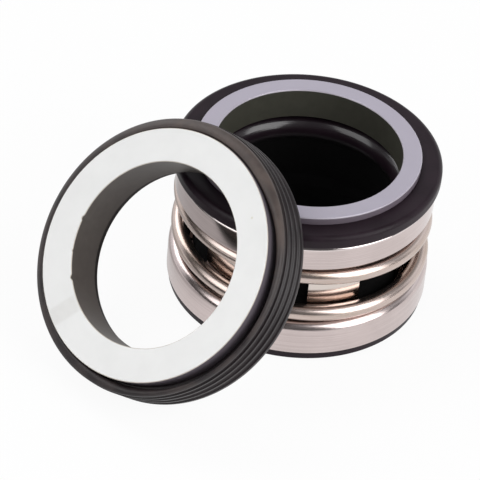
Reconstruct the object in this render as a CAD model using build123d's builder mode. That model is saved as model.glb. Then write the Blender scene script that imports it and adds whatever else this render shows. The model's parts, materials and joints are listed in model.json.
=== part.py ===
from build123d import *
from math import cos, radians, sin, sqrt, tan
import os

# Rubber-bellows mechanical seal for a 40 mm shaft, in millimetres.
# The rotary head stands on its foot at the origin, with its axis along +Z.
# The stationary seat leans against the head, as the two are laid out side by side.

os.makedirs("parts", exist_ok=True)

# ---- Driving dimensions -------------------------------------------------------------------

shaft_radius = 20.0
sheet = 0.9                 # pressed stainless sheet of the retainer, holder and drive band

# Rubber bellows
foot_thickness = 1.95
tail_wall = 4.2             # thick tail that grips the shaft
tail_length = 11.0
tail_taper = 2.0            # height over which the tail thins to the wall
wall_clearance = 1.6        # between the shaft and the thin wall
wall_thickness = 2.0
roll_radius = 3.4           # roll of rubber that bulges inwards below the ring
roll_drop = 1.2             # from the ring down to the roll
roll_clearance = 0.86       # between the shaft and the roll
roll_ledge = 0.3            # from the middle of the roll out to where the ring lies flat
roll_foot_round = 2.5       # where the roll runs down into the thin wall
ring_bed = 2.3              # rubber between the support disc and the ring
lip_thickness = 0.85        # rubber lip over the ring's collar
bead_overhang = 0.9         # bead beyond the retainer band
bead_height = 3.5
bead_round = 1.2
bead_under_round = 0.6

# Primary ring
ring_clearance = 1.3        # between the shaft and the ring
face_width = 4.3
ring_height = 7.6
ring_stand = 1.65           # face above the rubber
collar_width = 1.0
ring_chamfer = 0.2

# Retainer and support disc
nose_wall = 2.05            # rubber between the ring's collar and the retainer
nose_fit = 0.05
band_depth = 5.9            # retainer's outside height
bend_round = 0.25           # inside of the bend from the flange to the band
bend_edge_round = 0.5       # and its outside
lug_bend_round = 0.3        # inside of the bend from the flange to the lugs
lip_round = 0.4
lug_count = 6
lug_angle = 27.5            # width of a lug, in degrees round the axis
first_lug = 20.0            # lug's middle, in degrees from -Y towards +X
disc_thickness = 0.8
disc_fit = 0.1

# Spring
wire_radius = 1.85
coil_proud = 0.15           # coil beyond the retainer band
spring_length = 15.96
spring_tip = 217.0          # wire's lower end, in degrees from -Y towards +X
end_turns = 0.42            # lying flat at each end
climb_turns = 1.42          # climbing between them
seat_gap = 0.03             # between the coil and the sheet above and below it

# Spring holder and drive band
holder_proud = 0.4          # holder beyond the retainer band
holder_height = 7.99
holder_bend_round = 1.2     # inside of the holder's shoulder
lug_fit = 0.3               # between the tail and the lugs
lug_window = 0.5            # between the lugs and the holder
notch_fit = 0.4             # beside each lug
drive_band_fit = 0.05
travel = 4.0                # how far the ring and the retainer are pushed down in use
notch_floor = 1.25          # drive band left under its notches
notch_spare = 0.2           # left under the lugs at the end of their travel
drive_band_height = 6.75

# Seat ring
seat_clearance = 0.9        # between the shaft and the seat
seat_face_width = 7.6
seat_thickness = 10.0
seat_chamfer = 0.2

# Seat boot
boot_back = 1.95            # rubber behind the seat ring
boot_bore_step = 0.45       # boot's bore beyond the seat's bore
boot_wall = 2.9             # from the seat ring out to the ribs' crests
lip_gap = 0.77              # open groove round the front of the seat ring
lip_gap_end = 4.0           # its bottom, measured back from the face
bead_centre = 2.45          # front bead, measured back from the face
front_bead_radius = 0.98
first_rib = 3.8             # measured back from the face
rib_pitch = 2.24
rib_count = 4
rib_depth = 0.65
groove_radius = 0.85
bead_groove = 3.1           # middle of the small groove behind the bead
bead_groove_radius = 0.5
boot_round = 1.3

# Seat's lean against the head
seat_elevation = 41.8       # seat's axis above the floor, in degrees
seat_azimuth = 42.3         # seat's axis from -Y towards -X, in degrees
lean_gap = 0.25

# ---- Derived sizes ------------------------------------------------------------------------

tail_radius = shaft_radius + tail_wall
wall_inner = shaft_radius + wall_clearance
wall_outer = wall_inner + wall_thickness
ring_inner = shaft_radius + ring_clearance
ring_outer = ring_inner + face_width
collar_radius = ring_outer + collar_width
lip_bore = ring_outer + nose_fit
nose_radius = collar_radius + nose_wall
band_inner = nose_radius + nose_fit
band_outer = band_inner + sheet
bead_outer = band_outer + bead_overhang
foot_radius = band_outer
lug_inner = tail_radius + lug_fit
lug_outer = lug_inner + sheet
drive_inner = tail_radius + drive_band_fit
drive_outer = drive_inner + sheet
holder_outer = band_outer + holder_proud
holder_inner = holder_outer - sheet
holder_hole = lug_outer + lug_window
coil_radius = band_outer + coil_proud - wire_radius

holder_top = foot_thickness + holder_height
flange_bottom = holder_top + spring_length
flange_top = flange_bottom + sheet
disc_top = flange_top + disc_thickness
ring_bottom = disc_top + ring_bed
ring_top = ring_bottom + ring_height
rubber_top = ring_top - ring_stand
collar_top = rubber_top - lip_thickness
band_top = flange_bottom + band_depth
bead_bottom = rubber_top - bead_height
notch_bottom = foot_thickness + notch_floor
lug_bottom = notch_bottom + notch_spare + travel

seat_inner = shaft_radius + seat_clearance
seat_outer = seat_inner + seat_face_width
boot_bore = seat_inner + boot_bore_step
rib_radius = seat_outer + boot_wall
boot_depth = seat_thickness + boot_back

# The boot's rounded back corner stands on the floor, and the edge of its bore meets the
# rounded rim of the head at two points. That settles where the seat's face is.
lean = radians(seat_elevation)
corner_r = rib_radius - boot_round
corner_t = boot_depth - boot_round
seat_z = corner_r * cos(lean) + corner_t * sin(lean) + boot_round
back_z = seat_z - boot_depth * sin(lean)


def lean_reach(rim_angle):
    """Distance from the head's axis to the centre of the boot's bore edge, when that edge
    just meets the circle at rim_angle round the head's rounded rim."""
    rim_r = bead_outer - bead_round + bead_round * cos(rim_angle)
    rise = rubber_top - bead_round + bead_round * sin(rim_angle) - back_z
    return rise * tan(lean) + sqrt(rim_r ** 2 - boot_bore ** 2 + (rise / cos(lean)) ** 2)


back_x = lean_gap + max(lean_reach(radians(step)) for step in range(0, 91, 3))
seat_x = back_x + boot_depth * cos(lean)
outward = Vector(-sin(radians(seat_azimuth)), -cos(radians(seat_azimuth)), 0)
sideways = Vector(0, 0, 1).cross(outward)
seat_normal = outward * cos(lean) + Vector(0, 0, 1) * sin(lean)
seat_centre = outward * seat_x + Vector(0, 0, seat_z)
seat_axis = Axis(seat_centre, seat_normal)
seat_section = Plane(origin=seat_centre, x_dir=sideways, z_dir=sideways.cross(seat_normal))


def corner(section, across, along):
    """The corner of a section that is nearest to the given place in its plane."""
    return section.vertices().sort_by_distance((across, along, 0))[0]


def smooth_step(value):
    """0 below 0, 1 above 1, and a smooth rise between them."""
    part = min(max(value, 0.0), 1.0)
    return part * part * (3 - 2 * part)


# ---- Head: rubber bellows -----------------------------------------------------------------

roll_r = shaft_radius + roll_clearance + roll_radius
roll_z = ring_bottom - roll_drop - roll_radius
roll_foot = roll_z - sqrt(roll_radius ** 2 - (roll_r - wall_inner) ** 2)
ledge_inner = roll_r + roll_ledge

with BuildPart() as bellows:
    with BuildSketch(Plane.XZ):
        with BuildLine():
            Polyline(
                (wall_inner, roll_foot),
                (wall_inner, tail_length + tail_taper),
                (shaft_radius, tail_length),
                (shaft_radius, 0),
                (foot_radius, 0),
                (foot_radius, foot_thickness),
                (tail_radius, foot_thickness),
                (tail_radius, tail_length),
                (wall_outer, tail_length + tail_taper),
                (wall_outer, disc_top),
                (nose_radius, disc_top),
                (nose_radius, bead_bottom),
                (bead_outer, bead_bottom),
                (bead_outer, rubber_top),
                (lip_bore, rubber_top),
                (lip_bore, collar_top),
                (collar_radius, collar_top),
                (collar_radius, ring_bottom),
                (ledge_inner, ring_bottom),
                (roll_r, roll_z + roll_radius),
            )
            ThreePointArc(
                (roll_r, roll_z + roll_radius),
                (roll_r - roll_radius, roll_z),
                (wall_inner, roll_foot),
            )
        profile = make_face()
        fillet(corner(profile, bead_outer, rubber_top), bead_round)
        fillet(corner(profile, bead_outer, bead_bottom), bead_under_round)
        fillet(corner(profile, wall_inner, roll_foot), roll_foot_round)
    revolve(axis=Axis.Z)

bellows.part.label = "bellows"
export_step(bellows.part, "parts/bellows.step")

# ---- Head: primary ring -------------------------------------------------------------------

with BuildPart() as primary_ring:
    with BuildSketch(Plane.XZ):
        with BuildLine():
            Polyline(
                (ring_inner, ring_bottom),
                (collar_radius, ring_bottom),
                (collar_radius, collar_top),
                (ring_outer, collar_top),
                (ring_outer, ring_top),
                (ring_inner, ring_top),
                close=True,
            )
        section = make_face()
        chamfer([corner(section, ring_inner, ring_top), corner(section, ring_outer, ring_top)],
                ring_chamfer)
    revolve(axis=Axis.Z)

primary_ring.part.label = "primary_ring"
export_step(primary_ring.part, "parts/primary_ring.step")

# ---- Head: support disc -------------------------------------------------------------------

with BuildPart() as support_disc:
    with BuildSketch(Plane.XY.offset(flange_top)):
        Circle(band_inner - bend_round - disc_fit)
        Circle(lug_inner + disc_fit, mode=Mode.SUBTRACT)
    extrude(amount=disc_thickness)

support_disc.part.label = "support_disc"
export_step(support_disc.part, "parts/support_disc.step")

# ---- Head: retainer -----------------------------------------------------------------------

# One pressed sheet: the band, the flange under it and the lugs bent down from the flange.
window_half = radians(180 / lug_count - lug_angle / 2)
window_reach = lug_outer + sheet

with BuildPart() as retainer:
    with BuildSketch(Plane.XZ):
        with BuildLine():
            Polyline(
                (lug_inner, lug_bottom),
                (lug_outer, lug_bottom),
                (lug_outer, flange_bottom),
                (band_outer, flange_bottom),
                (band_outer, band_top),
                (band_inner, band_top),
                (band_inner, flange_top),
                (lug_inner, flange_top),
                close=True,
            )
        section = make_face()
        fillet([corner(section, band_inner, band_top), corner(section, band_outer, band_top)],
               lip_round)
        fillet(corner(section, band_inner, flange_top), bend_round)
        fillet(corner(section, band_outer, flange_bottom), bend_edge_round)
        fillet(corner(section, lug_outer, flange_bottom), lug_bend_round)
        fillet(corner(section, lug_inner, flange_top), lug_bend_round + sheet)
    revolve(axis=Axis.Z)
    with BuildSketch(Plane.XY.offset(lug_bottom)):
        with PolarLocations(0, lug_count, start_angle=first_lug - 90 + 180 / lug_count):
            Polygon(
                (0, 0),
                (window_reach, -window_reach * tan(window_half)),
                (window_reach, window_reach * tan(window_half)),
                align=None,
            )
        Circle(window_reach, mode=Mode.INTERSECT)
    extrude(amount=flange_bottom - lug_bottom, mode=Mode.SUBTRACT)

retainer.part.label = "retainer"
export_step(retainer.part, "parts/retainer.step")

# ---- Head: drive band ---------------------------------------------------------------------

# Sleeve round the bellows' tail. Each lug slides in a notch, and is driven by its sides.
notch_half = radians(lug_angle / 2) + notch_fit / lug_inner
notch_reach = drive_outer + sheet

with BuildPart() as drive_band:
    with BuildSketch(Plane.XY.offset(foot_thickness)):
        Circle(drive_outer)
        Circle(drive_inner, mode=Mode.SUBTRACT)
    extrude(amount=drive_band_height)
    with BuildSketch(Plane.XY.offset(notch_bottom)):
        with PolarLocations(0, lug_count, start_angle=first_lug - 90):
            Polygon(
                (0, 0),
                (notch_reach, -notch_reach * tan(notch_half)),
                (notch_reach, notch_reach * tan(notch_half)),
                align=None,
            )
    extrude(amount=drive_band_height, mode=Mode.SUBTRACT)

drive_band.part.label = "drive_band"
export_step(drive_band.part, "parts/drive_band.step")

# ---- Head: spring holder ------------------------------------------------------------------

with BuildPart() as spring_holder:
    with BuildSketch(Plane.XZ):
        with BuildLine():
            Polyline(
                (holder_inner, foot_thickness),
                (holder_outer, foot_thickness),
                (holder_outer, holder_top),
                (holder_hole, holder_top),
                (holder_hole, holder_top - sheet),
                (holder_inner, holder_top - sheet),
                close=True,
            )
        section = make_face()
        fillet(corner(section, holder_outer, holder_top), holder_bend_round + sheet)
        fillet(corner(section, holder_inner, holder_top - sheet), holder_bend_round)
    revolve(axis=Axis.Z)

spring_holder.part.label = "spring_holder"
export_step(spring_holder.part, "parts/spring_holder.step")

# ---- Head: coil spring --------------------------------------------------------------------

# Left-hand coil. Its two ends lie flat, on the holder and under the flange, and the wire
# climbs smoothly from one to the other.
coil_foot = holder_top + seat_gap + wire_radius
coil_head = flange_bottom - seat_gap - wire_radius
spring_turns = climb_turns + 2 * end_turns
path_points = 28


def coil_point(turn):
    """Centre of the wire, a number of turns from its lower end."""
    angle = radians(spring_tip - 90 - 360 * turn)
    climb = (coil_head - coil_foot) * smooth_step((turn - end_turns) / climb_turns)
    return Vector(coil_radius * cos(angle), coil_radius * sin(angle), coil_foot + climb)


with BuildPart() as coil_spring:
    with BuildLine() as wire_path:
        Spline(*[coil_point(spring_turns * step / path_points)
                 for step in range(path_points + 1)])
    with BuildSketch(Plane(origin=wire_path.line @ 0, z_dir=wire_path.line % 0)):
        Circle(wire_radius)
    sweep(path=wire_path.line)

coil_spring.part.label = "coil_spring"
export_step(coil_spring.part, "parts/coil_spring.step")

# ---- Seat: ring ---------------------------------------------------------------------------

with BuildPart() as mating_ring:
    with BuildSketch(seat_section):
        with BuildLine():
            Polyline(
                (seat_inner, 0),
                (seat_outer, 0),
                (seat_outer, -seat_thickness),
                (seat_inner, -seat_thickness),
                close=True,
            )
        section = make_face()
        chamfer([corner(section, seat_inner, 0), corner(section, seat_outer, 0)], seat_chamfer)
    revolve(axis=seat_axis)

mating_ring.part.label = "mating_ring"
export_step(mating_ring.part, "parts/mating_ring.step")

# ---- Seat: rubber boot --------------------------------------------------------------------

# Cup moulded round the seat ring: a round bead in front, then ribs with flat crests.
gap_radius = seat_outer + lip_gap
groove_bottom = rib_radius - rib_depth

with BuildPart() as seat_boot:
    with BuildSketch(seat_section):
        with BuildLine():
            Polyline(
                (seat_outer, -lip_gap_end),
                (seat_outer, -seat_thickness),
                (boot_bore, -seat_thickness),
                (boot_bore, -boot_depth),
                (rib_radius, -boot_depth),
                (rib_radius, -bead_groove),
                (groove_bottom, -bead_groove),
                (groove_bottom, -bead_centre),
                (gap_radius, -bead_centre),
                (gap_radius, -lip_gap_end),
                close=True,
            )
        section = make_face()
        fillet(corner(section, rib_radius, -boot_depth), boot_round)
        with Locations((gap_radius + front_bead_radius, -bead_centre)):
            Circle(front_bead_radius)
        with Locations((groove_bottom + bead_groove_radius, -bead_groove)):
            Circle(bead_groove_radius, mode=Mode.SUBTRACT)
        for rib in range(1, rib_count):
            groove_t = first_rib + (rib - 0.5) * rib_pitch
            with Locations((groove_bottom + groove_radius, -groove_t)):
                Circle(groove_radius, mode=Mode.SUBTRACT)
    revolve(axis=seat_axis)

seat_boot.part.label = "seat_boot"
export_step(seat_boot.part, "parts/seat_boot.step")
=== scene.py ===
"""Rubber-bellows mechanical seal: the rotary head on its foot, and the seat that leans on it.

Laid out as an add-on and run as a script. Every length is in metres.
"""

import json
from math import acos, cos, pi, radians, sin, tan

import bmesh
import bpy
import numpy as np
from bpy.props import FloatProperty, FloatVectorProperty, IntProperty, PointerProperty
from mathutils import Matrix, Vector


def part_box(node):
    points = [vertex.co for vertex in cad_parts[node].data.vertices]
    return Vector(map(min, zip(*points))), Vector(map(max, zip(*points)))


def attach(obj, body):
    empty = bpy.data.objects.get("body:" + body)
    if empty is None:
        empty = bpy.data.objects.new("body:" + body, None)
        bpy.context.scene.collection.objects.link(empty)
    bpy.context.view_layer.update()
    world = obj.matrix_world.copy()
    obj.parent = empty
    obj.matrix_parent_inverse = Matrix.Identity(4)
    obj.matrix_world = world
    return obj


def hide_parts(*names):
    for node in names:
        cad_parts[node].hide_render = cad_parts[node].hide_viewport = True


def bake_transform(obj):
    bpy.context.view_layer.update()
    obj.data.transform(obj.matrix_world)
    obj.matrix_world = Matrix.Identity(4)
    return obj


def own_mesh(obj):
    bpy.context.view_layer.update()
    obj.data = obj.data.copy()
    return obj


bl_info = {
    "name": "Bellows shaft seal",
    "version": (1, 0, 0),
    "blender": (4, 5, 0),
    "location": "3D View > Sidebar > Shaft Seal",
    "description": "Builds the dressed pieces of a rubber-bellows mechanical seal",
    "category": "Add Mesh",
}

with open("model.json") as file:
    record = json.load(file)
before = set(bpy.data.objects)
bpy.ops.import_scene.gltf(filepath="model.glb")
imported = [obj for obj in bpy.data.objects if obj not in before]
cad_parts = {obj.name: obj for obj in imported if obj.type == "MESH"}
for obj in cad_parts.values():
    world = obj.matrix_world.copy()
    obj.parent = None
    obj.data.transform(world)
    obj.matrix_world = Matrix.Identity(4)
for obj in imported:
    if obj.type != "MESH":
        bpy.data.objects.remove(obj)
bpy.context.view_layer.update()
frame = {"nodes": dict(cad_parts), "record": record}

MM = 0.001

# ---- Sizes that the frame gives -----------------------------------------------------------


def mount(name):
    """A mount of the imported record."""
    return next(m for m in frame["record"]["mounts"] if m["name"] == name)


SHAFT = mount("shaft_bore")["dims"]["r_mm"] * MM
TAIL_TOP = mount("shaft_bore")["dims"]["length_mm"] * MM
RUBBER_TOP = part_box("bellows")[1].z
BEAD_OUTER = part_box("bellows")[1].x
RING_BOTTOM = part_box("primary_ring")[0].z
RING_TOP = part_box("primary_ring")[1].z
COLLAR_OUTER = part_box("primary_ring")[1].x
FLANGE_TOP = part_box("support_disc")[0].z
DISC_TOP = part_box("support_disc")[1].z
BAND_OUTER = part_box("retainer")[1].x
BAND_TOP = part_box("retainer")[1].z
LUG_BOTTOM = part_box("retainer")[0].z
FOOT_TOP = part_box("spring_holder")[0].z
HOLDER_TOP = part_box("spring_holder")[1].z
HOLDER_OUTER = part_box("spring_holder")[1].x

SEAT_NORMAL = Vector(mount("seat_bore")["axis"]).normalized()
SEAT_BORE = mount("seat_bore")["dims"]["r_mm"] * MM
RIB_OUTER = mount("seat_outside")["dims"]["r_mm"] * MM

# ---- Sizes of the sections ----------------------------------------------------------------

SHEET = 0.9 * MM
TIGHT = 0.05 * MM               # rounding of a corner that looks sharp
FLANGE_BOTTOM = FLANGE_TOP - SHEET

TAIL_OUTER = SHAFT + 4.2 * MM
TAIL_TAPER = 2.0 * MM           # height of the slope from the tail to the wall
WALL_INNER = SHAFT + 1.6 * MM
WALL_OUTER = SHAFT + 3.6 * MM
ROLL_RADIUS = 3.4 * MM
ROLL_INNER = SHAFT + 0.86 * MM
ROLL_DROP = 1.2 * MM            # from the ring's back down to the top of the roll
ROLL_FOOT_CUT = 0.45            # radians of the roll's arc that its foot's rounding takes up
ROLL_FOOT_ROUND = 2.0 * MM
ROLL_PARTS = 17                 # corners along the roll's arc
LIP_EDGE_ROUND = 0.12 * MM
BAND_INNER = BAND_OUTER - SHEET
NOSE_OUTER = BAND_INNER - 0.05 * MM
BEAD_HEIGHT = 3.5 * MM
BEAD_ROUND_BELOW = 0.9 * MM
BEAD_ROUND_ABOVE = 1.2 * MM
LIP_THICKNESS = 0.85 * MM

RING_BORE = SHAFT + 1.3 * MM
FACE_OUTER = SHAFT + 5.6 * MM
LIP_BORE = FACE_OUTER + 0.05 * MM
RING_BACK_ROUND = 0.15 * MM
RING_FINE_ROUND = 0.04 * MM

LIP_RAISE = 0.25 * MM           # band's top lip over the height of its node
LIP_ROUND = 0.6 * MM
BEND_INSIDE = 0.25 * MM
BEND_OUTSIDE = 0.5 * MM
LUG_BEND = 0.3 * MM
LUG_INNER = TAIL_OUTER + 0.3 * MM
LUG_OUTER = LUG_INNER + SHEET
LUG_COUNT = 6
LUG_PITCH = 2 * pi / LUG_COUNT
LUG_ANGLE = radians(27.5)       # width of a lug
FIRST_LUG = radians(-70)
LUG_PARTS = 28                  # columns of faces across a lug
WINDOW_PARTS = 32               # and across the window beside it
LUG_ROWS = 12                   # rows of faces down a lug

SHOULDER_INSIDE = 1.2 * MM
HOLDER_HOLE = LUG_OUTER + 0.5 * MM

WIRE_RADIUS = 1.85 * MM
WIRE_GAP = 0.03 * MM            # from the wire to the holder and to the flange
COIL_RADIUS = BAND_OUTER + 0.15 * MM - WIRE_RADIUS
COIL_FOOT = HOLDER_TOP + WIRE_GAP + WIRE_RADIUS
COIL_HEAD = FLANGE_BOTTOM - WIRE_GAP - WIRE_RADIUS
COIL_TIP = radians(127)         # where the lower end of the wire lies
END_TURNS = 0.42                # level wire at each end
CLIMB_TURNS = 1.42              # climbing wire between them
TURN_PARTS = 300                # points along a turn of the wire
WIRE_AROUND = 28                # points round the wire
TIP_PARTS = 5                   # points along the rounded edge of the wire's ends

SEAT_THICKNESS = 10.0 * MM
SEAT_OUTER = SEAT_BORE + 7.6 * MM
CHIPS = ((-172.8, 1.2), (-152.1, 0.6), (-135.2, 1.4))   # degrees round, and size

BOOT_DEPTH = SEAT_THICKNESS + 1.95 * MM
BOOT_BORE = SEAT_BORE + 0.45 * MM
BOOT_ROUND = 1.3 * MM
LIP_GAP = 0.77 * MM             # between the seat ring and the boot's lip
LIP_GAP_END = 4.0 * MM          # depth of that gap
LIP_GAP_ROUND = 0.3 * MM
GAP_WALL = SEAT_OUTER + LIP_GAP
GAP_LEAST = -0.6 * MM           # shift of the gap's wall where it is narrowest
GAP_SWING = 1.75 * MM           # and what is added to that where it is widest
GAP_WIDEST = radians(-12)
BEAD_RISE = 1.2 * MM            # of the bead's inner side, where the gap is narrowest
FRONT_BEAD = 0.98 * MM
FRONT_BEAD_AT = 2.45 * MM       # depth of the bead's centre behind the lapped face
BEAD_CENTRE = GAP_WALL + FRONT_BEAD
FIRST_RIB = 3.8 * MM
RIB_PITCH = 2.24 * MM
RIB_COUNT = 4
GROOVE_FLOOR = RIB_OUTER - 0.65 * MM
GROOVE_RADIUS = 0.85 * MM
BEAD_GROOVE_AT = 3.1 * MM
BEAD_GROOVE_RADIUS = 0.5 * MM
BEAD_GROOVE_RISE = 0.35         # radians past its floor, where the bead's arc takes over
BEAD_START = -0.15              # radians from straight out, where the bead's arc starts
ARC_ROUND = 0.06 * MM           # rounding of the corners along an arc of the boot

AROUND = 320                    # points round a turned piece
ARC_STEP = radians(9)           # turn of one facet of a rounded corner
STEP = 1.5 * MM                 # longest part of a straight side
LEAST_ROUND = 1e-6              # rounding of a corner that is meant to be sharp
SAME_HEIGHT = 1e-7              # heights closer than this are one height

# ---- Properties ---------------------------------------------------------------------------


def colour(name, description, default):
    """A colour property in linear light."""
    return FloatVectorProperty(name=name, description=description, default=default,
                               subtype="COLOR", size=3, min=0.0, max=1.0)


def length(name, description, default):
    """A length property in metres."""
    return FloatProperty(name=name, description=description, default=default,
                         min=0.0, unit="LENGTH", subtype="DISTANCE")


def power(name, description, default):
    """A light's power in watts."""
    return FloatProperty(name=name, description=description, default=default,
                         min=0.0, unit="POWER")


class SealSizes(bpy.types.PropertyGroup):
    """Edge and wear sizes that a user would change."""

    edge_break: length("Edge break", "Rounding of the sheet metal's cut edges", 0.14 * MM)
    rubber_edge: length("Rubber edge", "Rounding of the moulded rubber's edges", 0.25 * MM)
    ring_chamfer: length("Ring chamfer", "Chamfer round the lapped faces", 0.2 * MM)
    chip_size: length("Chip size", "Width of the small chips in the seat's bore edge", 0.32 * MM)


class SealFinish(bpy.types.PropertyGroup):
    """Colours of the seal's materials."""

    rubber: colour("Rubber", "Head's black rubber", (0.0135, 0.0070, 0.0112))
    boot: colour("Boot rubber", "Seat's dark grey rubber", (0.015, 0.0105, 0.0120))
    steel: colour("Stainless steel", "Pressed sheet", (0.66, 0.565, 0.55))
    wire: colour("Spring wire", "Bright drawn wire", (0.60, 0.500, 0.462))
    # Lapped faces: pale tones that hold the lapped finish and a painted reflection of the lights.
    ring_face: colour("Ring face", "Head ring's lapped face", (0.50, 0.465, 0.545))
    ring_body: colour("Ring body", "Head ring's ground sides", (0.045, 0.044, 0.034))
    seat_face: colour("Seat face", "Seat ring's lapped face", (0.87, 0.87, 0.86))
    seat_body: colour("Seat body", "Seat ring's ground sides", (0.068, 0.060, 0.054))


class SealStage(bpy.types.PropertyGroup):
    """Light, and fineness of the pieces."""

    right_power: power("Right light", "Power of the right softbox", 9.8)
    left_power: power("Left light", "Power of the left softbox", 4.75)
    back_power: power("Back light", "Power of the softbox behind, left", 3.9)
    surroundings: FloatProperty(name="Surroundings", description="Strength of the grey room",
                                default=0.28, min=0.0)
    points_around: IntProperty(name="Points round", description="Points round each turned piece",
                               default=AROUND, min=48, max=1024)


def sizes():
    """Edge and wear sizes of the scene."""
    return bpy.context.scene.seal_sizes


def finish():
    """Colours of the scene."""
    return bpy.context.scene.seal_finish


# ---- Shapes: formulas worked out as whole arrays --------------------------------------------


def rounded_section(corners, step=STEP):
    """Closed section in the (radius, height) plane, run anticlockwise.

    corners holds (radius, height, rounding). Each corner is replaced by the arc that touches
    both of its sides, and each straight side is divided so that no part is longer than step.
    Returns the points and, for each, the outward normal: the direction of travel turned
    clockwise by a quarter.
    """
    place = np.array([corner[:2] for corner in corners], float)
    roundings = [max(corner[2], LEAST_ROUND) for corner in corners]
    arcs = []
    for before, here, after, rounding in zip(np.roll(place, 1, 0), place,
                                             np.roll(place, -1, 0), roundings):
        way_in = (here - before) / np.linalg.norm(here - before)
        way_out = (after - here) / np.linalg.norm(after - here)
        turn = np.arctan2(way_in[0] * way_out[1] - way_in[1] * way_out[0], way_in @ way_out)
        start = here - way_in * (rounding * tan(abs(turn) / 2))
        parts = max(1, int(np.ceil(abs(turn) / ARC_STEP)))
        angle = np.arctan2(way_in[1], way_in[0]) + turn * np.linspace(0, 1, parts + 1)
        normal = np.stack([np.sin(angle), -np.cos(angle)], 1)
        side = np.sign(turn) * rounding
        centre = start + side * np.array([-way_in[1], way_in[0]])
        arcs.append((centre + side * normal, normal))
    points, normals = [], []
    for (arc, normal), (next_arc, _) in zip(arcs, arcs[1:] + arcs[:1]):
        gap = next_arc[0] - arc[-1]
        parts = max(1, int(np.linalg.norm(gap) / step))
        share = np.arange(1, parts)[:, None] / parts
        points += [arc, arc[-1] + share * gap]
        normals += [normal, np.repeat(normal[-1:], parts - 1, 0)]
    return np.concatenate(points), np.concatenate(normals)


def arc_corners(r, z, radius, start, end, count, rounding):
    """Corners along an arc round (r, z): (r + radius cos a, z + radius sin a) at angle a."""
    return [(r + radius * cos(a), z + radius * sin(a), rounding)
            for a in np.linspace(start, end, count)]


def ring_angles(count):
    """Evenly spaced angles round a full turn."""
    return np.arange(count) * (2 * pi / count)


def turned(section, angles):
    """Surface of revolution: the section's (r, z) at angle a is (r cos a, r sin a, z). It
    turns points and normals alike. Returns a grid, section by angle."""
    way = np.stack([np.cos(angles), np.sin(angles)], 1)
    return np.concatenate([section[:, None, :1] * way,
                           np.repeat(section[:, None, 1:], len(angles), 1)], -1)


def grid_faces(rows, columns, close_rows=True):
    """Four-sided faces between neighbouring points of a grid that closes round its columns,
    wound so that a section that runs anticlockwise faces outwards."""
    i = np.arange(rows if close_rows else rows - 1)[:, None]
    j = np.arange(columns)[None, :]
    i_next, j_next = (i + 1) % rows, (j + 1) % columns
    corners = [i * columns + j, i * columns + j_next, i_next * columns + j_next,
               i_next * columns + j]
    return np.stack(corners, -1).reshape(-1, 4)


def patch_faces(numbers):
    """Four-sided faces between neighbouring entries of an open grid of point numbers."""
    return np.stack([numbers[:-1, :-1], numbers[1:, :-1], numbers[1:, 1:], numbers[:-1, 1:]],
                    -1).reshape(-1, 4)


def make_piece(name, points, faces, normals=None, own=None, carry=None):
    """A mesh object from arrays. own is each point's place in the piece's own frame, which the
    materials read; carry is the matrix that takes that frame to the row frame."""
    points = points.reshape(-1, 3)
    own = points if own is None else own.reshape(-1, 3)
    if carry is not None:
        turn = np.array(carry.to_3x3())
        points = points @ turn.T + np.array(carry.translation)
        normals = None if normals is None else normals.reshape(-1, 3) @ turn.T
    mesh = bpy.data.meshes.new(name)
    mesh.from_pydata(points, [], faces)
    mesh.update()
    place = mesh.attributes.new("own_place", "FLOAT_VECTOR", "POINT")
    place.data.foreach_set("vector", own.astype(np.float32).ravel())
    mesh.polygons.foreach_set("use_smooth", np.ones(len(mesh.polygons), bool))
    if normals is not None:
        mesh.normals_split_custom_set_from_vertices(normals.reshape(-1, 3).tolist())
    piece = bpy.data.objects.new(name, mesh)
    bpy.context.scene.collection.objects.link(piece)
    return piece


def turned_piece(name, corners, carry=None, step=STEP, shape=None):
    """A turned ring from its section's corners. shape may move the finished grid of points."""
    section, section_normals = rounded_section(corners, step)
    angles = ring_angles(bpy.context.scene.seal_stage.points_around)
    points = turned(section, angles)
    faces = grid_faces(len(section), len(angles))
    if shape is None:
        return make_piece(name, points, faces, turned(section_normals, angles), carry=carry)
    return even_shading(make_piece(name, shape(points), faces, carry=carry))


def even_shading(piece):
    """Shades each point by its larger faces, so that flat sides stay flat."""
    level = piece.modifiers.new("even_shading", "WEIGHTED_NORMAL")
    level.keep_sharp = False
    return piece


def soften(piece, width):
    """Rounds every sharp edge by width, and keeps flat sides flat in the shading."""
    bevel = piece.modifiers.new("edge_break", "BEVEL")
    bevel.width = width
    bevel.segments = 3
    bevel.limit_method = "ANGLE"
    bevel.angle_limit = radians(40)
    return even_shading(piece)


def outward_faces(piece):
    """Turns every face of a closed mesh outwards."""
    made = bmesh.new()
    made.from_mesh(piece.data)
    bmesh.ops.recalc_face_normals(made, faces=made.faces)
    made.to_mesh(piece.data)
    made.free()
    return piece


def seat_frame():
    """Matrix from the seat's own frame to the row frame: +Z along the seat's axis with 0 at
    its lapped face, and +X level."""
    level = Vector((0, 0, 1)).cross(SEAT_NORMAL).normalized()
    up = SEAT_NORMAL.cross(level)
    bore = Vector(mount("seat_bore")["pos_m"])
    face = Vector(mount("seat_face")["pos_m"])
    centre = bore + SEAT_NORMAL * (face - bore).dot(SEAT_NORMAL)
    carry = Matrix((level, up, SEAT_NORMAL)).transposed().to_4x4()
    carry.translation = centre
    return carry


def smooth_step(value):
    """0 below 0, 1 above 1, and 3 v^2 - 2 v^3 between them."""
    part = np.clip(value, 0, 1)
    return part * part * (3 - 2 * part)


def polar(points):
    """Distance of each point from the axis, and its angle round it."""
    return np.hypot(points[..., 0], points[..., 1]), np.arctan2(points[..., 1], points[..., 0])


# ---- Shader values --------------------------------------------------------------------------


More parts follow.
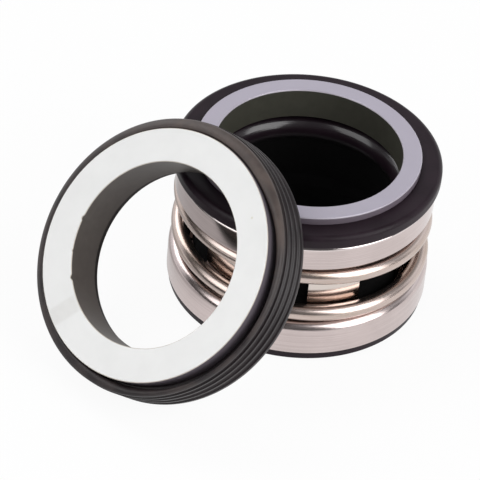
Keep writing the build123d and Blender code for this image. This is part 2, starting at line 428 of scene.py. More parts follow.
class Signal:
    """A number that varies over a surface. Arithmetic on it adds Math nodes."""

    def __init__(self, tree, socket):
        self.tree, self.socket = tree, socket

    def math(self, operation, *values):
        """A Math node of that operation on these values."""
        node = self.tree.nodes.new("ShaderNodeMath")
        node.operation = operation
        for socket, value in zip(node.inputs, values):
            plug(self.tree, socket, value)
        return Signal(self.tree, node.outputs[0])

    def __add__(self, other):
        return self.math("ADD", self, other)

    def __sub__(self, other):
        return self.math("SUBTRACT", self, other)

    def __rsub__(self, other):
        return self.math("SUBTRACT", other, self)

    def __mul__(self, other):
        return self.math("MULTIPLY", self, other)

    def __truediv__(self, other):
        return self.math("DIVIDE", self, other)

    def __pow__(self, other):
        return self.math("POWER", self, other)

    __radd__ = __add__
    __rmul__ = __mul__

    def clamp(self):
        """The value held between 0 and 1."""
        return self.math("MINIMUM", self.math("MAXIMUM", self, 0.0), 1.0)

    def rise(self, low, high):
        """0 below low, 1 above high, and smooth between them."""
        part = ((self - low) / (high - low)).clamp()
        return part * part * (3.0 - 2.0 * part)

    def band(self, middle, half_width, edge):
        """1 within half_width of middle, falling to 0 over edge."""
        return 1.0 - self.math("ABSOLUTE", self - middle).rise(half_width, half_width + edge)


def plug(tree, socket, value):
    """Links a Signal or a socket, or sets a plain value."""
    if isinstance(value, Signal):
        value = value.socket
    if isinstance(value, bpy.types.NodeSocket):
        tree.links.new(value, socket)
    elif isinstance(value, (int, float)):
        socket.default_value = value
    else:
        value = tuple(value)
        wanted = len(socket.default_value)
        socket.default_value = value + (1.0,) * (wanted - len(value))


def from_axis(x, y):
    """Distance from the piece's axis."""
    return (x * x + y * y) ** 0.5


def scaled(tone, factor):
    """A colour times a factor."""
    return tuple(v * factor for v in tone)


class Look:
    """A material being made, with its surface shader."""

    def __init__(self, name):
        self.material = bpy.data.materials.new(name)
        self.material.use_nodes = True
        self.tree = self.material.node_tree
        self.surface = self.tree.nodes["Principled BSDF"]

    def node(self, kind, settings=None, inputs=None):
        """A node of that kind. settings are set first, then inputs, by name or number."""
        node = self.tree.nodes.new(kind)
        for key, value in (settings or {}).items():
            setattr(node, key, value)
        for key, value in (inputs or {}).items():
            plug(self.tree, node.inputs[key], value)
        return node

    def signal(self, socket):
        """A socket as a Signal."""
        return Signal(self.tree, socket)

    def in_mm(self, vector):
        """A vector socket's three parts, as Signals in millimetres."""
        parts = self.node("ShaderNodeSeparateXYZ", inputs={0: vector})
        return [self.signal(socket) * (1 / MM) for socket in parts.outputs]

    def own_place(self):
        """Place in the piece's own frame, as three Signals in millimetres."""
        return self.in_mm(self.node("ShaderNodeAttribute", {"attribute_name": "own_place"})
                          .outputs["Vector"])

    def object_place(self):
        """Place in the row frame, as three Signals in millimetres."""
        return self.in_mm(self.node("ShaderNodeTexCoord").outputs["Object"])

    def vector(self, x, y, z):
        """Three values as a vector socket."""
        return self.node("ShaderNodeCombineXYZ", inputs={0: x, 1: y, 2: z}).outputs[0]

    def noise(self, place, scale, detail=3.0, roughness=0.55):
        """Noise from 0 to 1 with about 0.5 as its middle."""
        made = self.node("ShaderNodeTexNoise", inputs={
            "Vector": place, "Scale": scale, "Detail": detail, "Roughness": roughness})
        return self.signal(made.outputs["Fac"])

    def mix(self, factor, first, second):
        """Colour between first and second."""
        made = self.node("ShaderNodeMix", {"data_type": "RGBA"},
                         {0: factor, 6: first, 7: second})
        return made.outputs[2]

    def bump(self, height, distance, strength=1.0):
        """Raises the surface by height times distance."""
        made = self.node("ShaderNodeBump", inputs={
            "Height": height, "Distance": distance, "Strength": strength})
        plug(self.tree, self.surface.inputs["Normal"], made.outputs[0])

    def set(self, **values):
        """Sets the surface shader's sockets, named with underscores."""
        for key, value in values.items():
            plug(self.tree, self.surface.inputs[key.replace("_", " ")], value)
        return self.material


# ---- Materials: places are in millimetres -------------------------------------------------------

# Each pair holds the two places between which a change runs. Within NOSE_INSIDE and below
# ROLL_LIT, the head's rubber is painted plain black as shade.
NOSE_INSIDE = (24.3, 25.3)      # radius of the head's rubber that is seen through its ring
ROLL_LIT = (23.0, 26.5)         # height of the roll, above the plain black part
# Within BACK_INSIDE, the boot's back flange is painted plain black as shade.
BACK_INSIDE = (22.6, 23.4)      # radius of the boot's back flange, seen through the seat ring
# Black that stands for shade: painted on rubber deep in the head's bore and inside the boot's back
# flange.
UNLIT = (0.0008, 0.0006, 0.0008)
HEAD_BLOOM = (0.007, 0.004, 0.006)      # added to the rubber's colour where it is dull
BOOT_BLOOM = (0.012, 0.009, 0.0095)
# Dust with a painted highlight, laid on the boot bead's upper side.
BOOT_DUST_AND_HIGHLIGHT = (0.088, 0.066, 0.058)
# The lugs' steel, painted lighter than the band as lit.
LUG_PAINTED_LIGHT_TONE = (0.69, 0.612, 0.567)
HEAD_RIM = (0.42, 0.39, 0.44)
# Painted light: the rings' outer sides are coloured lighter than their bores and backs, as lit and
# shaded copies of one ground tone.
HEAD_OUTSIDE_LIT = ((0.165, 0.135, 0.165), 25.0)    # ring's outer side, and the radius it starts at
SEAT_RIM = (0.55, 0.50, 0.44)
SEAT_OUTSIDE_LIT = ((0.13, 0.11, 0.13), 28.0)
LINES = 5.0                     # fineness of the lines round the pressed steel
FACE_EDGE = (-0.10, -0.03)      # height of the lapped face's edge
STREAK_WAY = radians(-118.5)    # direction of the faint streak on the seat's face
STREAK_HALF_WIDTH = 1.6
STREAK_STARTS = (19.0, 22.0)    # how far along that direction
STREAK_TONE = (0.62, 0.60, 0.57)
SPECK_AT = (16.4, 19.1)         # centre of the small speck on the seat's face
SPECK_EDGE = (0.10, 0.42)       # distance from that centre
SPECK_TONE = (0.62, 0.60, 0.45)


def rubber_look(name, base, bloom, shine, bore=False, bead=None):
    """Moulded rubber: near black, with a dull bloom in soft patches, fine grain and a slight
    gloss that varies. With bore, the roll under the ring is wet-glossy, and the rubber below it
    is painted plain black as shade deep in the bore. bead is the tone laid on a front bead's
    upper side: dust, with a painted highlight on the bead's top."""
    look = Look(name)
    x, y, z = look.own_place()
    place = look.vector(x, y, z)
    patches = look.noise(place, 0.16, 4.0).rise(0.35, 0.75)
    specks = look.noise(place, 2.6, 2.0).rise(0.62, 0.80)
    dull = tuple(a + b for a, b in zip(base, bloom))
    tone = look.mix(patches * 0.75 + specks * 0.18, base, dull)
    grain = look.noise(place, 7.0, 3.0, 0.6)
    look.bump(grain, 0.02 * MM, 0.45)
    rough = 0.33 + patches * 0.12 + grain * 0.05
    if bore:
        within = 1.0 - from_axis(x, y).rise(*NOSE_INSIDE)
        roll = z.rise(*ROLL_LIT)
        # Painted shade: deep in the bore, below the roll, the rubber is coloured plain black.
        tone = look.mix(within * (1.0 - roll), tone, UNLIT)
        rough = rough + within * (1.0 - roll) * 0.5
        look.set(Coat_Weight=within * roll, Coat_Roughness=0.16)
    if bead:
        # Painted shade: the back flange's inside, behind the ring, is coloured plain black too.
        tone = look.mix(1.0 - from_axis(x, y).rise(*BACK_INSIDE), tone, UNLIT)
        # Dust and a painted highlight: the bead's upper side is coloured lighter, with lighter
        # patches across its front.
        dust_and_highlight = z.rise(-4.2, -2.2) * y.rise(6.0, 28.0) * (0.55 + patches * 0.45)
        dust_and_highlight = dust_and_highlight + z.rise(-3.2, -1.8) * patches * 0.35
        tone = look.mix(dust_and_highlight, tone, bead)
        rough = rough + dust_and_highlight * 0.12
    return look.set(Base_Color=tone, Roughness=rough, Specular_IOR_Level=shine)


def steel_look(name, base, gloss, rim=None, lugs=None):
    """Bright stainless steel. Fine lines run round the piece: noise of (radius, height) with
    only a slow change round the axis. Roughness and tone follow them. rim is the height above
    which the lip is brightened by a painted highlight, and lugs is the lighter tone painted on
    the lugs as light, with the height where they start."""
    look = Look(name)
    x, y, z = look.own_place()
    across = look.vector(from_axis(x, y) * LINES, z * LINES, x * 0.02 + y * 0.013)
    round_lines = look.noise(across, 1.0, 4.0, 0.7)
    cloud = look.noise(look.vector(x, y, z), 0.11, 3.0)
    tone = look.mix((round_lines.rise(0.35, 0.65) * 0.5 + cloud.rise(0.3, 0.7) * 0.35).clamp(),
                    base, scaled(base, 0.78))
    if rim:
        # Painted highlight: above rim, the lip's steel is coloured brighter.
        tone = look.mix(z.rise(rim - 0.15, rim + 0.15), tone, tuple(v ** 0.7 for v in base))
    if lugs:
        # Painted light: below the flange, the lugs take a lighter copy of the steel's tone.
        lug_painted_light_tone, top = lugs
        tone = look.mix(z.rise(top - 1.0, top), lug_painted_light_tone, tone)
    look.bump(round_lines, 0.004 * MM, 0.35)
    return look.set(Base_Color=tone, Metallic=1.0,
                    Roughness=gloss + round_lines * 0.08 + cloud * 0.05)


def hidden_steel_look(name, base):
    """Plain steel for the hidden pressed pieces, from Object coordinates."""
    look = Look(name)
    cloud = look.noise(look.vector(*look.object_place()), 0.4, 3.0)
    return look.set(Base_Color=look.mix(cloud, base, scaled(base, 0.6)), Metallic=1.0,
                    Roughness=0.32 + cloud * 0.1)


def wire_look(name, base):
    """Drawn spring wire: bright, with faint lines along the wire. The own frame of the coil
    holds (cos, sin) of the angle round the wire times its radius, and the length along it."""
    look = Look(name)
    x, y, z = look.own_place()
    draw_lines = look.noise(look.vector(x * 3.2, y * 3.2, z * 0.04), 1.0, 4.0, 0.65)
    stains = look.noise(look.vector(x * 0.5, y * 0.5, z * 0.09), 1.0, 3.0)
    warm = tuple(v * share for v, share in zip(base, (0.80, 0.745, 0.645)))
    tone = look.mix((stains.rise(0.42, 0.72) * 0.55 + draw_lines.rise(0.45, 0.7) * 0.25).clamp(),
                    base, warm)
    look.bump(draw_lines, 0.004 * MM, 0.3)
    return look.set(Base_Color=tone, Metallic=1.0, Roughness=0.21 + draw_lines * 0.12)


def stained(look, x, y, place, tone):
    """A face's tone with a faint straight streak, by the distance from a line through the face
    and within a stretch of it, and with one small speck."""
    along = x * cos(STREAK_WAY) + y * sin(STREAK_WAY)
    across = y * cos(STREAK_WAY) - x * sin(STREAK_WAY)
    streak = across.band(0.0, STREAK_HALF_WIDTH, 0.9) * along.rise(*STREAK_STARTS)
    streak = streak * (0.45 + look.noise(place, 0.6, 3.0))
    tone = look.mix(streak * 0.30, tone, STREAK_TONE)
    speck = 1.0 - from_axis(x - SPECK_AT[0], y - SPECK_AT[1]).rise(*SPECK_EDGE)
    return look.mix(speck * 0.55, tone, SPECK_TONE)


def lapped_look(name, face, body, rim, outside, metal=0.0, streaked=False):
    """Ceramic ring: a pale lapped face at height 0 of its own frame, which holds the lapped
    finish and a painted reflection, rims that are a little lighter or darker, and dark ground
    sides. outside is the tone of the outer side, painted lighter as lit, with the radius where it
    starts, metal is the face's metallic share, and streaked stains the face."""
    look = Look(name)
    x, y, z = look.own_place()
    place = look.vector(x, y, z)
    on_face = z.rise(*FACE_EDGE)
    on_rim = z.band(-0.10, 0.10, 0.06)
    cloud = look.noise(place, 0.09, 3.0)
    fine = look.noise(place, 1.4, 4.0, 0.6)
    # Painted reflection: the face's pale tone stands for its lapped finish and the light it
    # reflects.
    face_tone = look.mix(cloud.rise(0.3, 0.75) * 0.5 + fine * 0.10, face, scaled(face, 0.90))
    if streaked:
        face_tone = stained(look, x, y, place, face_tone)
    side_tone = look.mix(look.noise(place, 0.5, 4.0), body, scaled(body, 1.5))
    # Painted light: the outer side takes a lighter copy of the ground tone, as lit, beside the
    # darker bore and back.
    lit_outer_tone, start = outside
    side_tone = look.mix(from_axis(x, y).rise(start - 0.5, start), side_tone, lit_outer_tone)
    tone = look.mix(on_face, look.mix(on_rim, side_tone, rim), face_tone)
    look.bump(fine, 0.01 * MM, 0.25)
    return look.set(Base_Color=tone, Roughness=0.42 - on_face * 0.16 + fine * 0.05,
                    Metallic=on_face * metal, Specular_IOR_Level=0.5)


def dress(piece, look, node, body=None):
    """Gives a new piece its material and slot, hides the CAD node that it replaces, and gives it
    its body.
    """
    piece.data.materials.append(look)
    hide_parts(node)
    if body:
        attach(piece, body)
    return piece


# ---- Operators: one for each piece ------------------------------------------------------------


class SEAL_OT_bellows(bpy.types.Operator):
    """Head's rubber bellows, from the foot flange to the bead round the ring"""

    bl_idname = "seal.bellows"
    bl_label = "Rubber Bellows"

    def execute(self, context):
        edge = sizes().rubber_edge
        roll_r = ROLL_INNER + ROLL_RADIUS
        roll_z = RING_BOTTOM - ROLL_DROP - ROLL_RADIUS
        # The roll is an arc from the ring's seat, inwards and down towards the thin wall, which
        # it meets this far below level.
        below = acos((roll_r - WALL_INNER) / ROLL_RADIUS)
        corners = arc_corners(roll_r, roll_z, ROLL_RADIUS, pi / 2, pi + below - ROLL_FOOT_CUT,
                              ROLL_PARTS, LIP_EDGE_ROUND)
        corners += [
            (WALL_INNER, roll_z - ROLL_RADIUS * sin(below), ROLL_FOOT_ROUND),
            (WALL_INNER, TAIL_TOP + TAIL_TAPER, 0.8 * MM),
            (SHAFT, TAIL_TOP, 0.3 * MM),
            (SHAFT, 0, edge),
            (BAND_OUTER, 0, edge),
            (BAND_OUTER, FOOT_TOP, edge),
            (TAIL_OUTER, FOOT_TOP, edge),
            (TAIL_OUTER, TAIL_TOP, edge),
            (WALL_OUTER, TAIL_TOP + TAIL_TAPER, edge),
            (WALL_OUTER, DISC_TOP, edge),
            (NOSE_OUTER, DISC_TOP, edge),
            (NOSE_OUTER, RUBBER_TOP - BEAD_HEIGHT, edge / 2),
            (BEAD_OUTER, RUBBER_TOP - BEAD_HEIGHT, BEAD_ROUND_BELOW),
            (BEAD_OUTER, RUBBER_TOP, BEAD_ROUND_ABOVE),
            (LIP_BORE, RUBBER_TOP, LIP_EDGE_ROUND),
            (LIP_BORE, RUBBER_TOP - LIP_THICKNESS, TIGHT),
            (COLLAR_OUTER, RUBBER_TOP - LIP_THICKNESS, TIGHT),
            (COLLAR_OUTER, RING_BOTTOM, TIGHT),
            (roll_r + 0.3 * MM, RING_BOTTOM, 0.1 * MM),
        ]
        piece = turned_piece("bellows_rubber", corners, step=0.8 * MM)
        look = rubber_look("head_rubber", finish().rubber, HEAD_BLOOM, 0.19, bore=True)
        dress(piece, look, "bellows")
        TAIL_TOP + TAIL_TAPER
        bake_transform(piece)
        return {"FINISHED"}


class SEAL_OT_face_ring(bpy.types.Operator):
    """Head's ring with its lapped face"""

    bl_idname = "seal.face_ring"
    bl_label = "Face Ring"

    def execute(self, context):
        chamfer = sizes().ring_chamfer
        collar_top = RUBBER_TOP - LIP_THICKNESS - RING_TOP
        bottom = RING_BOTTOM - RING_TOP
        corners = [
            (RING_BORE, bottom, RING_BACK_ROUND),
            (COLLAR_OUTER, bottom, RING_BACK_ROUND),
            (COLLAR_OUTER, collar_top, 0.1 * MM),
            (FACE_OUTER, collar_top, RING_FINE_ROUND),
            (FACE_OUTER, -chamfer, RING_FINE_ROUND),
            (FACE_OUTER - chamfer, 0, RING_FINE_ROUND),
            (RING_BORE + chamfer, 0, RING_FINE_ROUND),
            (RING_BORE, -chamfer, RING_FINE_ROUND),
        ]
        piece = turned_piece("face_ring", corners, Matrix.Translation((0, 0, RING_TOP)))
        look = lapped_look("lapped_grey", finish().ring_face, finish().ring_body,
                           HEAD_RIM, HEAD_OUTSIDE_LIT, metal=0.25)
        dress(piece, look, "primary_ring", "ring_carrier")
        return {"FINISHED"}


def hanging_lug(angles, top, outer_row, inner_row, first):
    """A lug below the flange's bend. Its two walls are parts of cylinders, so a wall's point is
    (radius cos a, radius sin a, z), and strips close its end and its two sides.

    outer_row and inner_row are the numbers of the sheet's points that the walls hang from, and
    first is the number of the first new point. Returns the new points and the faces.
    """
    heights = np.linspace(top, LUG_BOTTOM, LUG_ROWS + 1)[1:, None]
    points = np.stack([
        np.stack(np.broadcast_arrays(radius * np.cos(angles), radius * np.sin(angles), heights),
                 -1) for radius in (LUG_OUTER, LUG_INNER)])
    numbers = first + np.arange(points[..., 0].size).reshape(points.shape[:3])
    outer = np.vstack([outer_row, numbers[0]])
    inner = np.vstack([inner_row, numbers[1]])
    faces = [patch_faces(outer), patch_faces(inner)[:, ::-1],
             patch_faces(np.stack([outer[-1], inner[-1]])),
             patch_faces(np.stack([outer[:, 0], inner[:, 0]]))[:, ::-1],
             patch_faces(np.stack([outer[:, -1], inner[:, -1]]))]
    return points.reshape(-1, 3), np.concatenate(faces)


class SEAL_OT_retainer(bpy.types.Operator):
    """Pressed band with its flange and six drive lugs, as one sheet"""

    bl_idname = "seal.retainer"
    bl_label = "Retainer"

    def execute(self, context):
        stub = FLANGE_BOTTOM - LUG_BEND
        lip_top = BAND_TOP + LIP_RAISE
        just_under = 0.999      # leaves a short straight part between a bend and the stub's end
        section, _ = rounded_section([
            (LUG_INNER, stub, 0),
            (LUG_OUTER, stub, 0),
            (LUG_OUTER, FLANGE_BOTTOM, LUG_BEND * just_under),
            (BAND_OUTER, FLANGE_BOTTOM, BEND_OUTSIDE),
            (BAND_OUTER, lip_top, LIP_ROUND),
            (BAND_INNER, lip_top, 0.15 * MM),
            (BAND_INNER, FLANGE_TOP, BEND_INSIDE),
            (LUG_INNER, FLANGE_TOP, (LUG_BEND + SHEET) * just_under),
        ])
        # A column of points lies on every lug's side.
        one_pitch = np.concatenate([
            np.linspace(-LUG_ANGLE / 2, LUG_ANGLE / 2, LUG_PARTS, endpoint=False),
            np.linspace(LUG_ANGLE / 2, LUG_PITCH - LUG_ANGLE / 2, WINDOW_PARTS, endpoint=False)])
        angles = (FIRST_LUG + LUG_PITCH * np.arange(LUG_COUNT)[:, None] + one_pitch).ravel()
        columns = len(angles)
        points = [turned(section, angles).reshape(-1, 3)]
        faces = grid_faces(len(section), columns)
        # The stub's end is the one level strip at its height; the lugs take its place.
        low = np.flatnonzero(np.abs(section[:, 1] - stub) < SAME_HEIGHT)
        is_inner = section[low, 0] < (LUG_INNER + LUG_OUTER) / 2
        inner_row, outer_row = low[is_inner].max(), low[~is_inner].min()
        row, column = faces[:, 0] // columns, faces[:, 0] % columns
        in_lug = column % (LUG_PARTS + WINDOW_PARTS) < LUG_PARTS
        faces = [faces[~((row >= inner_row) & (row < outer_row) & in_lug)]]
        for lug in range(LUG_COUNT):
            used = (lug * (LUG_PARTS + WINDOW_PARTS) + np.arange(LUG_PARTS + 1)) % columns
            lug_points, lug_faces = hanging_lug(
                angles[used], stub, outer_row * columns + used, inner_row * columns + used,
                sum(len(part) for part in points))
            points.append(lug_points)
            faces.append(lug_faces)
        # Points of the stub's end that no face uses are left out.
        used_points, faces = np.unique(np.concatenate(faces), return_inverse=True)
        piece = make_piece("retainer_sheet", np.concatenate(points)[used_points],
                           faces.reshape(-1, 4))
        soften(piece, sizes().edge_break)
        # The lip's painted highlight starts 0.65 mm under its top.
        look = steel_look("pressed_steel", finish().steel, 0.04, lip_top / MM - 0.65,
                          (LUG_PAINTED_LIGHT_TONE, FLANGE_BOTTOM / MM))
        dress(piece, look, "retainer", "ring_carrier")
        hidden = hidden_steel_look("inner_steel", finish().steel)
        for node in ("support_disc", "drive_band"):
            for slot in frame["nodes"][node].material_slots:
                slot.material = hidden
        return {"FINISHED"}


class SEAL_OT_spring(bpy.types.Operator):
    """Left-hand coil of round wire with closed ends"""

    bl_idname = "seal.spring"
    bl_label = "Coil Spring"

    def execute(self, context):
        # The path is (R cos a, R sin a, z), where z is level at both ends and climbs smoothly
        # between them.
        turns = CLIMB_TURNS + 2 * END_TURNS
        turn = np.linspace(0, turns, int(turns * TURN_PARTS) + 1)
        angle = COIL_TIP - 2 * pi * turn
        climb = smooth_step((turn - END_TURNS) / CLIMB_TURNS)
        path = np.stack([COIL_RADIUS * np.cos(angle), COIL_RADIUS * np.sin(angle),
                         COIL_FOOT + (COIL_HEAD - COIL_FOOT) * climb], 1)
        ahead = np.gradient(path, axis=0)
        ahead /= np.linalg.norm(ahead, axis=1, keepdims=True)
        outward = np.stack([np.cos(angle), np.sin(angle), np.zeros(len(turn))], 1)
        upward = np.cross(outward, ahead)
        upward /= np.linalg.norm(upward, axis=1, keepdims=True)
        run = np.append(0.0, np.cumsum(np.linalg.norm(np.diff(path, axis=0), axis=1)))
        # Each end of the wire closes over a small rounded edge onto a flat of shrinking rings.
        edge = sizes().edge_break
        ease = np.linspace(0, pi / 2, TIP_PARTS)
        tip_radius = np.append([0.02 * MM, 0.5 * WIRE_RADIUS],
                               WIRE_RADIUS - edge + edge * np.sin(ease))
        tip_back = np.append([0.0, 0.0], edge * (1 - np.cos(ease)))
        last = len(turn) - 1
        rows = np.pad(np.arange(1, last), len(tip_radius), constant_values=(0, last))
        radius = np.concatenate([tip_radius, np.full(last - 1, WIRE_RADIUS), tip_radius[::-1]])
        shift = np.concatenate([tip_back, np.zeros(last - 1), -tip_back[::-1]])
        # Round the wire: outward times cos b plus upward times sin b.
        b = ring_angles(WIRE_AROUND)
        ring = (outward[rows, None] * np.cos(b)[None, :, None]
                + upward[rows, None] * np.sin(b)[None, :, None])
        centre = path[rows] + ahead[rows] * shift[:, None]
        points = centre[:, None] + ring * radius[:, None, None]
        own = np.stack(np.broadcast_arrays(WIRE_RADIUS * np.cos(b), WIRE_RADIUS * np.sin(b),
                                           run[rows][:, None]), -1)
        faces = grid_faces(len(rows), WIRE_AROUND, close_rows=False).tolist()
        end = range(len(rows) * WIRE_AROUND)[-WIRE_AROUND:]
        faces += [list(range(WIRE_AROUND)), list(reversed(end))]
        piece = outward_faces(make_piece("coil_wire", points, faces, own=own))
        look = wire_look("drawn_wire", finish().wire)
        dress(piece, look, "coil_spring", "drive_assembly")
        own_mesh(piece)
        return {"FINISHED"}


class SEAL_OT_holder(bpy.types.Operator):
    """Pressed cup under the coil"""

    bl_idname = "seal.holder"
    bl_label = "Spring Holder"

    def execute(self, context):
        edge = sizes().edge_break
        inner = HOLDER_OUTER - SHEET
        corners = [
            (inner, FOOT_TOP, edge),
            (HOLDER_OUTER, FOOT_TOP, edge),
            (HOLDER_OUTER, HOLDER_TOP, SHOULDER_INSIDE + SHEET),
            (HOLDER_HOLE, HOLDER_TOP, edge),
            (HOLDER_HOLE, HOLDER_TOP - SHEET, edge),
            (inner, HOLDER_TOP - SHEET, SHOULDER_INSIDE),
        ]
        piece = turned_piece("holder_cup", corners)
        look = steel_look("cup_steel", finish().steel, 0.17)
        dress(piece, look, "spring_holder", "drive_assembly")
        return {"FINISHED"}


def chipped(points):
    """Seat ring's grid with small notches in the bore's front edge: near each chip's angle the
    edge's points move outwards by a smooth bump of the distance along the edge."""
    chamfer, chip = sizes().ring_chamfer, sizes().chip_size
    radius, angle = polar(points)
    at_edge = (points[..., 2] > -3 * chamfer) & (radius < SEAT_BORE + 2 * chamfer)
    out = np.zeros(radius.shape)
    for degrees_round, size in CHIPS:
        along = np.abs(angle - radians(degrees_round)) * SEAT_BORE
        out += smooth_step(1 - along / (2 * chip * size)) * chip * size * at_edge
    points[..., :2] *= (1 + out / radius)[..., None]
    return points


class SEAL_OT_seat_ring(bpy.types.Operator):
    """Seat's ring with its wide lapped face and a few small chips in its bore edge"""

    bl_idname = "seal.seat_ring"
    bl_label = "Seat Ring"

    def execute(self, context):
        chamfer = sizes().ring_chamfer
        corners = [
            (SEAT_BORE, -SEAT_THICKNESS, RING_BACK_ROUND),
            (SEAT_OUTER, -SEAT_THICKNESS, RING_BACK_ROUND),
            (SEAT_OUTER, -chamfer, RING_FINE_ROUND),
            (SEAT_OUTER - chamfer, 0, RING_FINE_ROUND),
            (SEAT_BORE + chamfer, 0, RING_FINE_ROUND),
            (SEAT_BORE, -chamfer, RING_FINE_ROUND),
        ]
        piece = turned_piece("seat_ring", corners, seat_frame(), shape=chipped)
        look = lapped_look("lapped_white", finish().seat_face, finish().seat_body,
                           SEAT_RIM, SEAT_OUTSIDE_LIT, streaked=True)
        dress(piece, look, "mating_ring", "drive_assembly")
        return {"FINISHED"}


def groove(depth, radius, count, rise=None):
    """Corners of a groove of the boot, from the back: an arc that meets the ribs' crests, so
    its half angle comes from its depth. If rise is given, it ends that angle past its floor."""
    half = acos((GROOVE_FLOOR + radius - RIB_OUTER) / radius)
    return arc_corners(GROOVE_FLOOR + radius, -depth, radius, pi + half, pi - (rise or half),
                       count, ARC_ROUND)


def uneven_gap(points):
    """Boot's grid with the gap's outer wall moved in or out round the ring, and the bead's
    outside left: the shift grows from the ring's side to the wall and falls to 0 across the
    bead. Where the wall comes in, the bead's inner side also rises to meet the ring."""
    radius, angle = polar(points)
    shift = GAP_LEAST + GAP_SWING * np.maximum(0, np.cos(angle - GAP_WIDEST)) ** 2
    bead_share = np.clip(1 - (radius - GAP_WALL) / (2 * FRONT_BEAD), 0, 1) ** 1.5
    on_bead = smooth_step((points[..., 2] + FRONT_BEAD_AT + FRONT_BEAD) / (0.8 * FRONT_BEAD))
    share = np.where(radius < GAP_WALL, (radius - SEAT_OUTER) / LIP_GAP,
                     bead_share * np.where(radius < BEAD_CENTRE, 1, on_bead))
    in_front = points[..., 2] > -LIP_GAP_END - 0.01 * MM
    points[..., :2] *= (1 + shift * np.clip(share, 0, 1) * in_front / radius)[..., None]
    higher = BEAD_RISE * np.clip(shift / GAP_LEAST, 0, 1) * bead_share
    points[..., 2] += higher * on_bead * (radius > GAP_WALL - 0.05 * MM)
    return points


class SEAL_OT_boot(bpy.types.Operator):
    """Seat's rubber boot with its front bead and ribs"""

    bl_idname = "seal.boot"
    bl_label = "Seat Boot"

    def execute(self, context):
        edge = sizes().rubber_edge
        corners = [
            (SEAT_OUTER, -SEAT_THICKNESS, TIGHT),
            (BOOT_BORE, -SEAT_THICKNESS, TIGHT),
            (BOOT_BORE, -BOOT_DEPTH, edge),
            (RIB_OUTER, -BOOT_DEPTH, BOOT_ROUND),
        ]
        for rib in range(RIB_COUNT - 1, 0, -1):
            corners += groove(FIRST_RIB + (rib - 0.5) * RIB_PITCH, GROOVE_RADIUS, 11)
        corners += groove(BEAD_GROOVE_AT, BEAD_GROOVE_RADIUS, 7, BEAD_GROOVE_RISE)
        corners += arc_corners(BEAD_CENTRE, -FRONT_BEAD_AT, FRONT_BEAD, BEAD_START, pi, 15,
                               ARC_ROUND)
        corners += [(GAP_WALL, -LIP_GAP_END, LIP_GAP_ROUND),
                    (SEAT_OUTER, -LIP_GAP_END, LIP_GAP_ROUND)]
        piece = turned_piece("boot_rubber", corners, seat_frame(), shape=uneven_gap)
        # The front bead takes dust and a painted highlight on its upper side.
        look = rubber_look("boot_rubber_look", finish().boot, BOOT_BLOOM, 0.42,
                           bead=BOOT_DUST_AND_HIGHLIGHT)
        dress(piece, look, "seat_boot", "drive_assembly")
        return {"FINISHED"}


# ---- Stage --------------------------------------------------------------------------------------

FLOOR_SIZE = 4.0
FLOOR_TONE = (0.88, 0.88, 0.885)
# Shaded side of the floor in millimetres, where reflections see it grey.
SHADE_LEFT = (-130.0, -70.0)
SHADE_RIGHT = (-48.0, -20.0)
SHADE_BACK = (40.0, 80.0)
ROOM_TONE = (0.97, 0.98, 1.0)
AIM = Vector((-0.010, -0.010, 0.020))   # what the softboxes look at
SOFTBOXES = (                           # side, place, width and height
    ("right", (0.774, -0.502, 0.600), (0.78, 1.15)),
    ("left", (-0.746, -0.485, 0.647), (0.70, 1.03)),
    ("back", (-0.520, 0.480, 0.843), (0.52, 1.00)),
)
CAMERA_PLACE = (-0.013502, -0.590153, 0.489156)
CAMERA_DOWN = radians(39.157)
CAMERA_ROLL = radians(5.707)
LENS_MM = 247.2
SENSOR_MM = 36.0


class SEAL_OT_stage(bpy.types.Operator):
    """Pale floor, soft studio light and the camera"""

    bl_idname = "seal.stage"
    bl_label = "Stage"

    def execute(self, context):
        add_floor()
        add_world()
        for side, place, size in SOFTBOXES:
            add_softbox(side + "_light", Vector(place), size,
                        getattr(context.scene.seal_stage, side + "_power"))
        add_camera()
        context.scene.view_settings.view_transform = "Standard"
        return {"FINISHED"}


def add_floor():
    """Level floor at the foot. Its shader is a pale matt colour, and camera, glossy and
    transmission rays see it mixed with plain white, so that it still keeps the shadow. Under
    the head's bore, reflections see only the matt colour, and on the shaded side a grey."""
    bpy.ops.mesh.primitive_grid_add(x_subdivisions=2, y_subdivisions=2, size=FLOOR_SIZE)
    floor = bpy.context.object
    floor.name = "floor"
    look = Look("pale_floor")
    rays = look.node("ShaderNodeLightPath")
    seen, glossy, through = (look.signal(rays.outputs[f"Is {kind} Ray"])
                             for kind in ("Camera", "Glossy", "Transmission"))
    x, y, _ = look.object_place()
    outside = from_axis(x, y).rise(SHAFT / MM, SHAFT / MM + 4)
    share = seen.math("MAXIMUM", seen * 0.93,
                      glossy.math("MAXIMUM", glossy, through) * outside * 0.92)
    beside = (1.0 - x.rise(*SHADE_RIGHT)) * x.rise(*SHADE_LEFT) * (1.0 - y.rise(*SHADE_BACK))
    tone = look.mix(beside * glossy * 0.48, (1, 1, 1), (0, 0, 0))
    white = look.node("ShaderNodeEmission", inputs={"Color": tone, "Strength": 1.0})
    look.set(Base_Color=FLOOR_TONE, Roughness=0.9, Specular_IOR_Level=0.0)
    mixed = look.node("ShaderNodeMixShader", inputs={
        0: share, 1: look.surface.outputs[0], 2: white.outputs[0]})
    look.tree.links.new(mixed.outputs[0], look.tree.nodes["Material Output"].inputs[0])
    floor.data.materials.append(look.material)


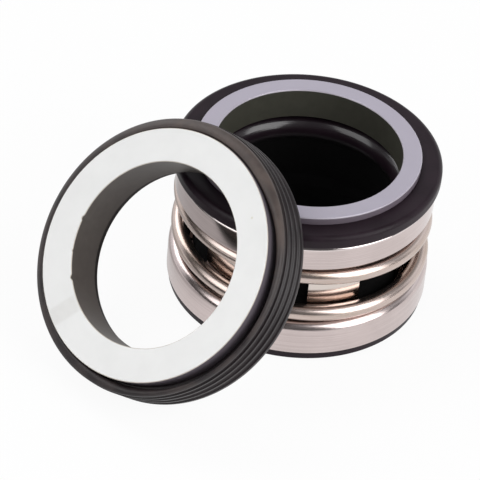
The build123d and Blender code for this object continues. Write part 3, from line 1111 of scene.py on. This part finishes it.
def add_world():
    """Soft grey surroundings with a pale sweep behind the object. The room's strength rises
    with the height of the direction, from a fifth at the horizon, and is lower in front. The
    sweep lies towards +Y, from the floor up to a third of the way to overhead."""
    world = bpy.data.worlds.new("studio")
    bpy.context.scene.world = world
    world.use_nodes = True
    tree = world.node_tree
    back = tree.nodes["Background"]
    plug(tree, back.inputs["Color"], ROOM_TONE)
    way = tree.nodes.new("ShaderNodeTexCoord")
    parts = tree.nodes.new("ShaderNodeSeparateXYZ")
    tree.links.new(way.outputs["Generated"], parts.inputs[0])
    behind, height = (Signal(tree, socket) for socket in parts.outputs[1:])
    full = bpy.context.scene.seal_stage.surroundings
    ahead = behind.rise(-0.6, 0.2) * 0.55 + 0.45
    room = height.rise(0.15, 0.45) * ahead * (full * 0.8) + full * 0.2
    sweep = behind.rise(0.0, 0.4) * (1.0 - height.rise(0.42, 0.58))
    plug(tree, back.inputs["Strength"], room + sweep * 0.85)


def add_softbox(name, place, size, power):
    """Rectangular area light that looks at AIM."""
    lamp = bpy.data.lights.new(name, "AREA")
    lamp.shape = "RECTANGLE"
    lamp.size, lamp.size_y = size
    lamp.energy = power
    holder = bpy.data.objects.new(name, lamp)
    bpy.context.scene.collection.objects.link(holder)
    holder.location = place
    holder.rotation_euler = (AIM - place).to_track_quat("-Z", "Y").to_euler()
    holder.visible_camera = False


def add_camera():
    """Camera that looks level-headed along +Y, down by its elevation, and then rolls."""
    forward = Vector((0, cos(CAMERA_DOWN), -sin(CAMERA_DOWN)))
    level, over = Vector((1, 0, 0)), Vector((0, sin(CAMERA_DOWN), cos(CAMERA_DOWN)))
    right = level * cos(CAMERA_ROLL) + over * sin(CAMERA_ROLL)
    up = over * cos(CAMERA_ROLL) - level * sin(CAMERA_ROLL)
    data = bpy.data.cameras.new("camera")
    data.sensor_width = SENSOR_MM
    data.lens = LENS_MM
    camera = bpy.data.objects.new("camera", data)
    bpy.context.scene.collection.objects.link(camera)
    turn = Matrix((right, up, -forward)).transposed().to_4x4()
    turn.translation = CAMERA_PLACE
    camera.matrix_world = turn
    bpy.context.scene.camera = camera


# ---- Add-on -------------------------------------------------------------------------------------


class SEAL_PT_panel(bpy.types.Panel):
    """Lists the seal's pieces, sizes and finishes"""

    bl_label = "Shaft Seal"
    bl_idname = "SEAL_PT_panel"
    bl_space_type = "VIEW_3D"
    bl_region_type = "UI"
    bl_category = "Shaft Seal"

    def draw(self, context):
        for operator in OPERATORS:
            self.layout.operator(operator.bl_idname)
        for holder, _ in GROUPS:
            group = getattr(context.scene, holder)
            column = self.layout.column(align=True)
            for name in group.__annotations__:
                column.prop(group, name)


OPERATORS = (SEAL_OT_bellows, SEAL_OT_face_ring, SEAL_OT_retainer, SEAL_OT_spring,
             SEAL_OT_holder, SEAL_OT_seat_ring, SEAL_OT_boot, SEAL_OT_stage)
GROUPS = (("seal_sizes", SealSizes), ("seal_finish", SealFinish), ("seal_stage", SealStage))


def register():
    """Adds the classes and the scene's property groups."""
    for _, group in GROUPS:
        bpy.utils.register_class(group)
    for operator in OPERATORS:
        bpy.utils.register_class(operator)
    bpy.utils.register_class(SEAL_PT_panel)
    for name, group in GROUPS:
        setattr(bpy.types.Scene, name, PointerProperty(type=group))


def unregister():
    """Takes them away again."""
    for name, _ in GROUPS:
        delattr(bpy.types.Scene, name)
    bpy.utils.unregister_class(SEAL_PT_panel)
    for operator in reversed(OPERATORS):
        bpy.utils.unregister_class(operator)
    for _, group in reversed(GROUPS):
        bpy.utils.unregister_class(group)


def main():
    """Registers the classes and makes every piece."""
    register()
    for operator in OPERATORS:
        group, name = operator.bl_idname.split(".")
        getattr(getattr(bpy.ops, group), name)()


if __name__ == "__main__":
    main()
